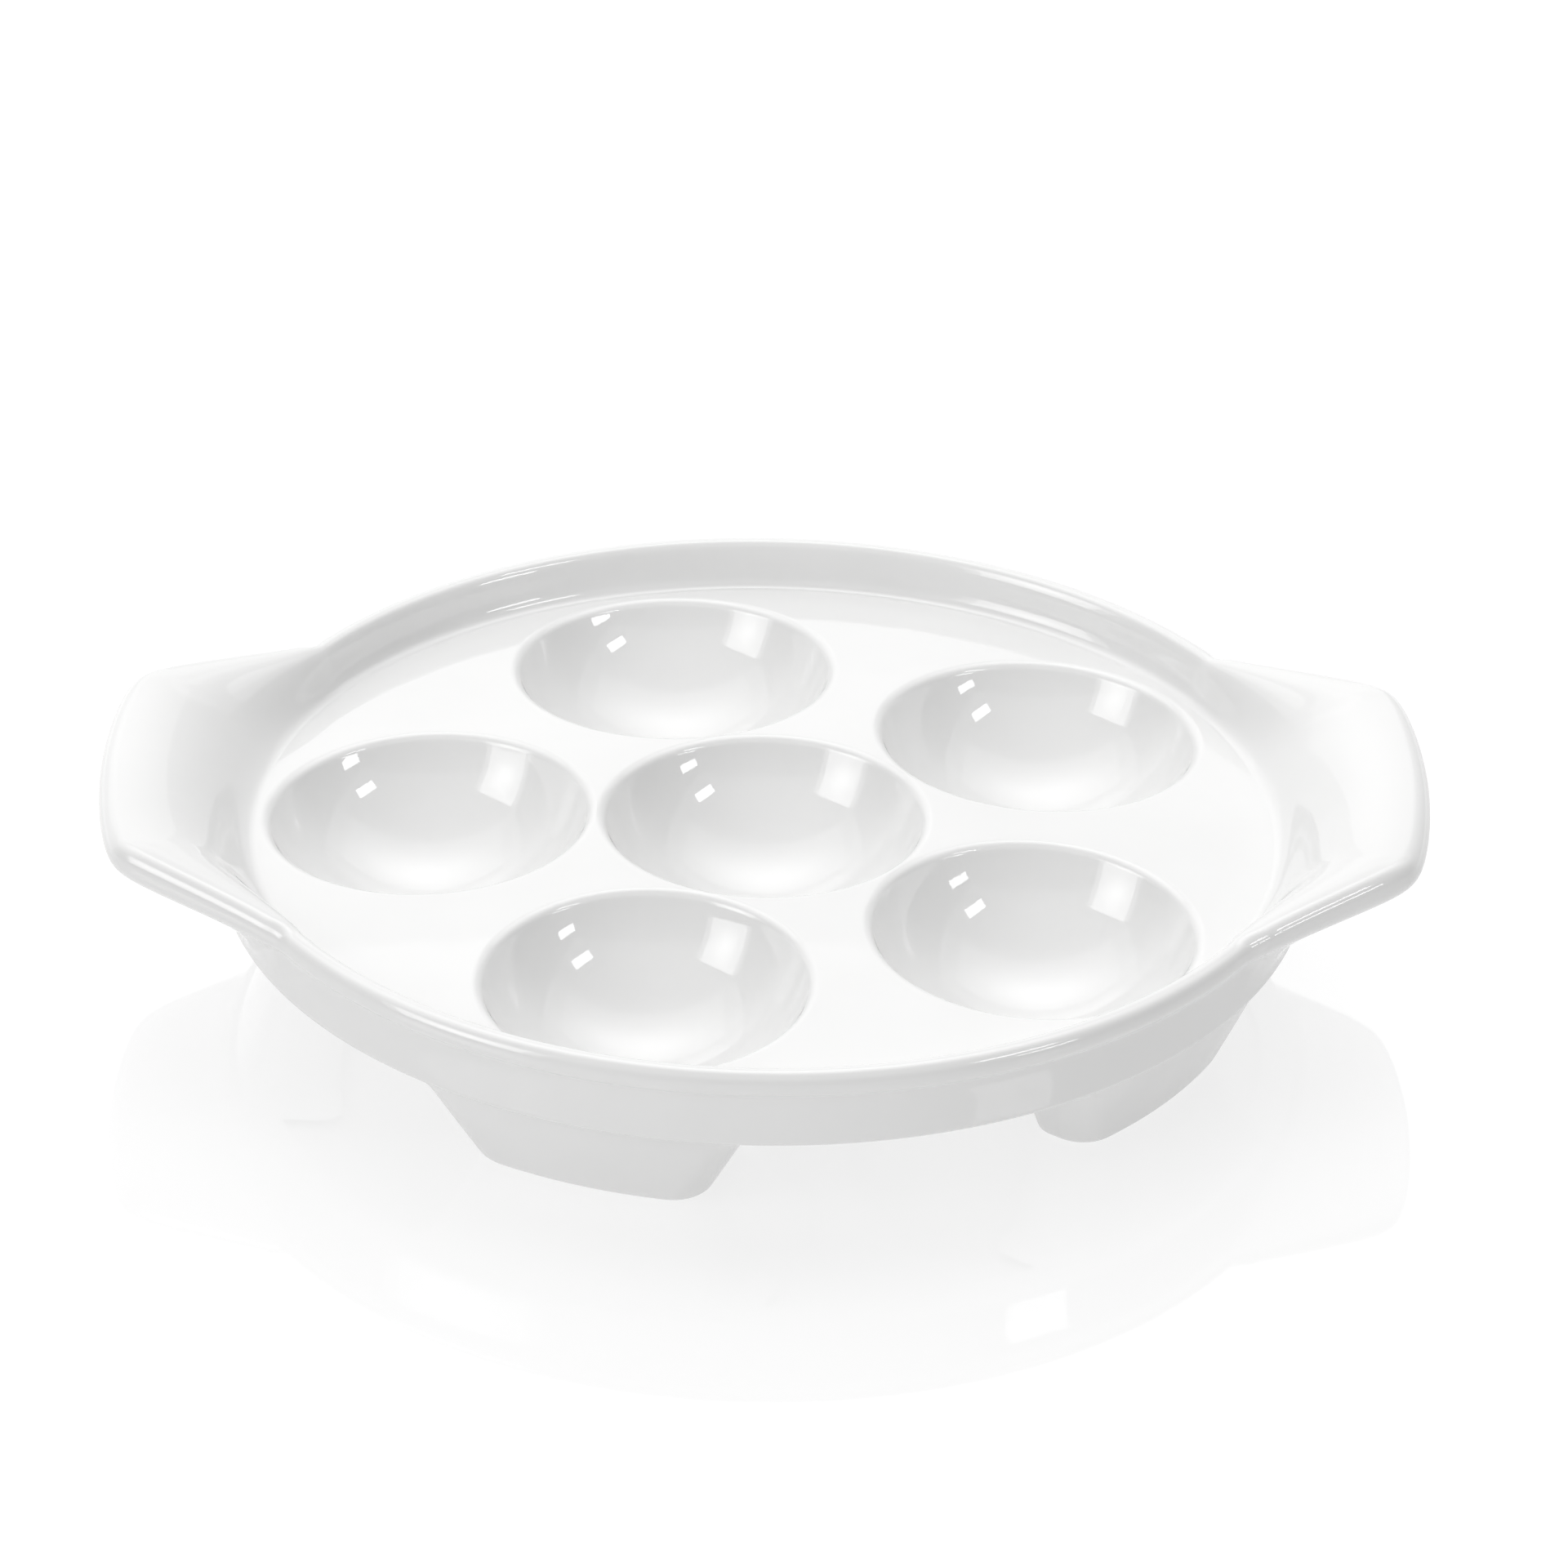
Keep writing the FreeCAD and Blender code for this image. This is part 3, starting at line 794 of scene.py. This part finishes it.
def add_cap(shell, numbers, line, height=None, **look):
    """Closes a line of points with rings drawn in to its middle, at a given height if any."""
    middle = line.mean(axis=0)
    shares = np.linspace(1, 0, CAP_STEPS + 1)[None, 1:-1, None]
    rings = middle + (line[:, None] - middle) * shares
    if height is not None:
        rings[..., 2] = height(rings[..., 0], rings[..., 1])
        middle[2] = height(middle[:1], middle[1:2])[0]
    hub = np.full((len(line), 1), shell.add(middle))
    grid = np.concatenate([numbers[:, None], shell.add(rings), hub], axis=1)
    shell.quads(grid, joined=True, flat=True, **look)


def make_foot(name, bearing):
    """A tapering foot with a rounded, unglazed sole, run up to the dish above it."""
    wall = foot_wall(foot_columns(), bearing)
    normals = grid_normals(wall, 1)
    normals[:, 0] = DOWN
    shell = Shell()
    shown = shell.add(wall, normals)
    shell.quads(shown, joined=True)
    add_cap(shell, shown[:, 0], wall[:, 0], flip=True, paint=1)
    add_cap(shell, shown[:, -1], wall[:, -1], foot_end)
    return shell.make(name, [GLAZE, BISQUE])


# ------------------------------------------------------------------ materials


def new_material(name):
    """A material with its nodes and links."""
    material = bpy.data.materials.new(name)
    material.use_nodes = True
    return material, material.node_tree.nodes, material.node_tree.links


def add_noise(nodes, links, scale, detail):
    """A noise in object space; scale is in waves per metre."""
    place = nodes.new("ShaderNodeTexCoord")
    noise = nodes.new("ShaderNodeTexNoise")
    noise.inputs["Scale"].default_value = scale
    noise.inputs["Detail"].default_value = detail
    links.new(place.outputs["Object"], noise.inputs["Vector"])
    return noise.outputs["Fac"]


def add_ramp(nodes, links, source, start, end, low, high):
    """A colour that goes from low to high while its source goes from start to end."""
    ramp = nodes.new("ShaderNodeValToRGB")
    ramp.color_ramp.elements[0].position = start
    ramp.color_ramp.elements[1].position = end
    ramp.color_ramp.elements[0].color = (*low, 1)
    ramp.color_ramp.elements[1].color = (*high, 1)
    links.new(source, ramp.inputs["Fac"])
    return ramp.outputs["Color"]


def add_bump(nodes, links, height, strength, distance, before=None):
    """A bumped normal; distance is in metres and before is another bump that it adds to."""
    bump = nodes.new("ShaderNodeBump")
    bump.inputs["Strength"].default_value = strength
    bump.inputs["Distance"].default_value = distance
    links.new(height, bump.inputs["Height"])
    if before is not None:
        links.new(before, bump.inputs["Normal"])
    return bump.outputs["Normal"]


def make_glaze():
    """Clear glossy glaze over white porcelain.

    The body shows a very faint cloudiness, the glaze a slow wave and a fine orange peel.
    """
    material, nodes, links = new_material("glaze")
    shader = nodes["Principled BSDF"]
    shader.inputs["IOR"].default_value = 1.52
    cloud = add_noise(nodes, links, 45.0, 3.0)
    colour = add_ramp(nodes, links, cloud, 0.3, 0.7, (0.86, 0.86, 0.856), (0.885, 0.885, 0.882))
    links.new(colour, shader.inputs["Base Color"])
    smear = add_noise(nodes, links, 160.0, 2.0)
    gloss = add_ramp(nodes, links, smear, 0.3, 0.7, (0.015,) * 3, (0.035,) * 3)
    links.new(gloss, shader.inputs["Roughness"])
    wave = add_noise(nodes, links, 75.0, 1.0)
    waved = add_bump(nodes, links, wave, 0.25, 0.0003)
    peel = add_noise(nodes, links, 900.0, 2.0)
    peeled = add_bump(nodes, links, peel, 0.04, 0.00006, waved)
    links.new(peeled, shader.inputs["Normal"])
    return material


def make_bisque():
    """Bare fired clay on the soles."""
    material, nodes, links = new_material("bisque")
    shader = nodes["Principled BSDF"]
    grain = add_noise(nodes, links, 1800.0, 3.0)
    colour = add_ramp(nodes, links, grain, 0.3, 0.7, (0.55, 0.51, 0.45), (0.78, 0.75, 0.69))
    links.new(colour, shader.inputs["Base Color"])
    shader.inputs["Roughness"].default_value = 0.85
    links.new(add_bump(nodes, links, grain, 0.4, 0.0001), shader.inputs["Normal"])
    return material


# ------------------------------------------------------------------ stage

WHITE = (1, 1, 1, 1)
TABLE_TONE = (0.32, 0.32, 0.32, 1)
TABLE_GLOW = 0.53  # the light that the table gives the dish
TABLE_GLOW_SEEN = 0.63  # the light that it shows the camera

BACKDROP_LIGHT = 1.1  # brightness of the room behind the dish
FRONT_LIGHT = 0.62  # brightness of the room in front of it
RIGHT_DIMMING = 0.32  # share of the room's light that is missing at the right

CEILING = 1.05  # metres above the table
LAYER = 0.01  # metres between panels hung under one another
FAR = 2.5  # metres from the dish to the lights at its sides
SOFTBOX_ROLL = 15.5  # degrees

SENSOR = 36  # millimetres
LENS = 211.4  # millimetres
VIEW_AZIMUTH = -90.587  # degrees anticlockwise from +X
VIEW_ELEVATION = 29.095  # degrees
VIEW_ROLL = 1.014  # degrees
VIEW_DISTANCE = 1.14996  # metres
VIEW_ACROSS = 0.002444  # metres that the camera is moved in its own picture plane
VIEW_UPWARD = 0.003616


def show_camera(nodes, links, target, shown):
    """Gives an input its own value for the camera; returns the input for all other light."""
    rays = nodes.new("ShaderNodeLightPath")
    pick = nodes.new("ShaderNodeMix")
    links.new(rays.outputs["Is Camera Ray"], pick.inputs["Factor"])
    pick.inputs["B"].default_value = shown
    links.new(pick.outputs["Result"], target)
    return pick.inputs["A"]


def make_floor():
    """A wide white acrylic table, lit a little from below, that mirrors the dish faintly."""
    bpy.ops.mesh.primitive_plane_add(size=6)
    floor = bpy.context.object
    floor.name = "floor"
    material, nodes, links = new_material("table")
    shader = nodes["Principled BSDF"]
    shader.inputs["Base Color"].default_value = TABLE_TONE
    shader.inputs["Roughness"].default_value = 0.04
    shader.inputs["IOR"].default_value = 1.7
    shader.inputs["Emission Color"].default_value = WHITE
    glow = show_camera(nodes, links, shader.inputs["Emission Strength"], TABLE_GLOW_SEEN)
    glow.default_value = TABLE_GLOW
    floor.data.materials.append(material)


def seen_at(azimuth, elevation, distance):
    """A point seen from the dish; azimuth from +X anticlockwise, both angles in degrees."""
    turn, rise = math.radians(azimuth), math.radians(elevation)
    level = math.cos(rise)
    return Vector((math.cos(turn) * level, math.sin(turn) * level, math.sin(rise))) * distance


def add_glow(nodes, links, source, start, end, low, high):
    """A value that goes smoothly from low to high while its source goes from start to end."""
    glow = nodes.new("ShaderNodeMapRange")
    glow.interpolation_type = "SMOOTHSTEP"
    glow.inputs["From Min"].default_value = start
    glow.inputs["From Max"].default_value = end
    glow.inputs["To Min"].default_value = low
    glow.inputs["To Max"].default_value = high
    links.new(source, glow.inputs["Value"])
    return glow.outputs["Result"]


def shade_panel(data, radiance, core):
    """Makes a panel brighter by core in its middle than at its edges."""
    data.use_nodes = True
    nodes, links = data.node_tree.nodes, data.node_tree.links
    spot = nodes.new("ShaderNodeNewGeometry")
    distance = nodes.new("ShaderNodeVectorMath")
    distance.operation = "DISTANCE"
    distance.inputs[1].default_value = (0.5, 0.5, 0.0)
    links.new(spot.outputs["Parametric"], distance.inputs[0])
    glow = add_glow(nodes, links, distance.outputs["Value"], 0.5, 0.0, radiance, radiance + core)
    links.new(glow, nodes["Emission"].inputs["Strength"])


def add_panel(name, place, size, radiance, core=0.0, roll=0.0, shine_only=False):
    """A soft panel aimed at the dish, turned about its own axis by roll degrees.

    A panel that is shine_only shows in the gloss of the glaze and lights nothing else.
    """
    data = bpy.data.lights.new(name, "AREA")
    data.shape = "RECTANGLE"
    data.size, data.size_y = size
    data.energy = math.pi * size[0] * size[1]
    shade_panel(data, radiance, core)
    light = bpy.data.objects.new(name, data)
    light.location = place
    light.visible_diffuse = not shine_only
    light.rotation_mode = "QUATERNION"
    aim = Vector(place).to_track_quat("Z", "Y")
    light.rotation_quaternion = aim @ Quaternion((0, 0, 1), math.radians(roll))
    bpy.context.scene.collection.objects.link(light)
    return light


def add_ceiling(name, layer, along, size, radiance, core=0.0, shine_only=False):
    """A panel overhead that faces straight down, hung so many layers under the ceiling."""
    place = (0.0, along, CEILING - layer * LAYER)
    light = add_panel(name, place, size, radiance, core, shine_only=shine_only)
    light.rotation_quaternion = Quaternion()


def make_lights():
    """A large soft ceiling, a softbox at the left and two slim strips at the right."""
    add_ceiling("ceiling_front", 0, -0.6, (3.0, 1.2), 0.52)
    add_ceiling("ceiling_middle", 0, 0.45, (3.0, 0.9), 0.79)
    add_ceiling("ceiling_back", 0, 1.2, (3.0, 0.6), 0.4)
    add_ceiling("ceiling_glow", 1, 0.35, (2.6, 1.4), 0.0, 0.8)
    add_ceiling("ceiling_sheen", 2, 0.42, (2.0, 0.9), 0.5, 1.6, shine_only=True)
    back = seen_at(101, 30, FAR)
    add_panel("back_sheen", back, (2.2, 1.1), 0.35, 0.35, shine_only=True)
    softbox = seen_at(-153.3, 27, FAR)
    nearer = softbox * 0.98
    add_panel("left_softbox", softbox, (1.5, 1.22), 1.4, roll=SOFTBOX_ROLL)
    add_panel("left_softbox_sheen", nearer, (1.15, 1.25), 2.3, 2.6, SOFTBOX_ROLL, shine_only=True)
    high, low = seen_at(-33, 41, FAR), seen_at(-32, 22, FAR)
    add_panel("right_strip_high", high, (0.62, 0.25), 9.0, shine_only=True)
    add_panel("right_strip_low", low, (0.55, 0.22), 9.0, shine_only=True)


def make_world():
    """A bright backdrop behind the dish and a dim room in front; to the camera it is white."""
    world = bpy.data.worlds.new("studio")
    world.use_nodes = True
    nodes, links = world.node_tree.nodes, world.node_tree.links
    place = nodes.new("ShaderNodeTexCoord")
    axes = nodes.new("ShaderNodeSeparateXYZ")
    links.new(place.outputs["Generated"], axes.inputs["Vector"])
    across, along = axes.outputs["X"], axes.outputs["Y"]
    both = nodes.new("ShaderNodeMath")
    links.new(add_glow(nodes, links, along, 0.1, 0.7, 0.0, BACKDROP_LIGHT), both.inputs[0])
    links.new(add_glow(nodes, links, along, -0.1, -0.7, 0.0, FRONT_LIGHT), both.inputs[1])
    room = nodes.new("ShaderNodeMath")
    room.operation = "MULTIPLY"
    links.new(both.outputs["Value"], room.inputs[0])
    kept = add_glow(nodes, links, across, -0.1, 0.7, 1.0, 1.0 - RIGHT_DIMMING)
    links.new(kept, room.inputs[1])
    background = nodes["Background"]
    background.inputs["Color"].default_value = WHITE
    lit = show_camera(nodes, links, background.inputs["Strength"], 1.0)
    links.new(room.outputs["Value"], lit)
    bpy.context.scene.world = world


def make_camera():
    """The viewing angle: from the front, looking down at about thirty degrees."""
    data = bpy.data.cameras.new("camera")
    data.sensor_width = SENSOR
    data.lens = LENS
    camera = bpy.data.objects.new("camera", data)
    back = seen_at(VIEW_AZIMUTH, VIEW_ELEVATION, 1.0)
    right = (-back).cross(Vector((0, 0, 1))).normalized()
    up = right.cross(-back)
    roll = math.radians(VIEW_ROLL)
    across = right * math.cos(roll) + up * math.sin(roll)
    upward = up * math.cos(roll) - right * math.sin(roll)
    target = Vector((0, 0, DECK_HEIGHT * MM))
    shift = across * VIEW_ACROSS + upward * VIEW_UPWARD
    camera.location = target + back * VIEW_DISTANCE + shift
    camera.rotation_mode = "QUATERNION"
    camera.rotation_quaternion = Matrix((across, upward, back)).transposed().to_quaternion()
    bpy.context.scene.collection.objects.link(camera)
    bpy.context.scene.camera = camera


# ------------------------------------------------------------------ assembly

GLAZE = make_glaze()
BISQUE = make_bisque()
EDGE_SURFACE, EDGE_NORMALS = edge_surface()


def attach(piece, node):
    """Lets a piece stand for the CAD node of the same shape."""
    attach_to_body(piece, "root")
    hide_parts(node)


HALF = HANDLE_HALF_ANGLE
EDGE_PIECES = {
    "handle_right": (-HALF, HALF),
    "rim_back": (HALF, 180 - HALF),
    "handle_left": (180 - HALF, 180 + HALF),
    "rim_front": (180 + HALF, 360 - HALF),
}
attach(make_deck(), "deck")
for node, (start, end) in EDGE_PIECES.items():
    attach(make_edge_piece("glazed_" + node, start, end), node)
attach(make_well("glazed_well_centre", None), "well_centre")
for place, bearing in BEARINGS.items():
    attach(make_well("glazed_well_" + place, bearing), "well_" + place)
    stand = bearing + math.radians(FOOT_SHIFT.get(place, 0.0))
    attach(make_foot("glazed_foot_" + place, stand), "foot_" + place)

make_floor()
make_world()
make_lights()
make_camera()
bpy.context.scene.view_settings.view_transform = "Standard"
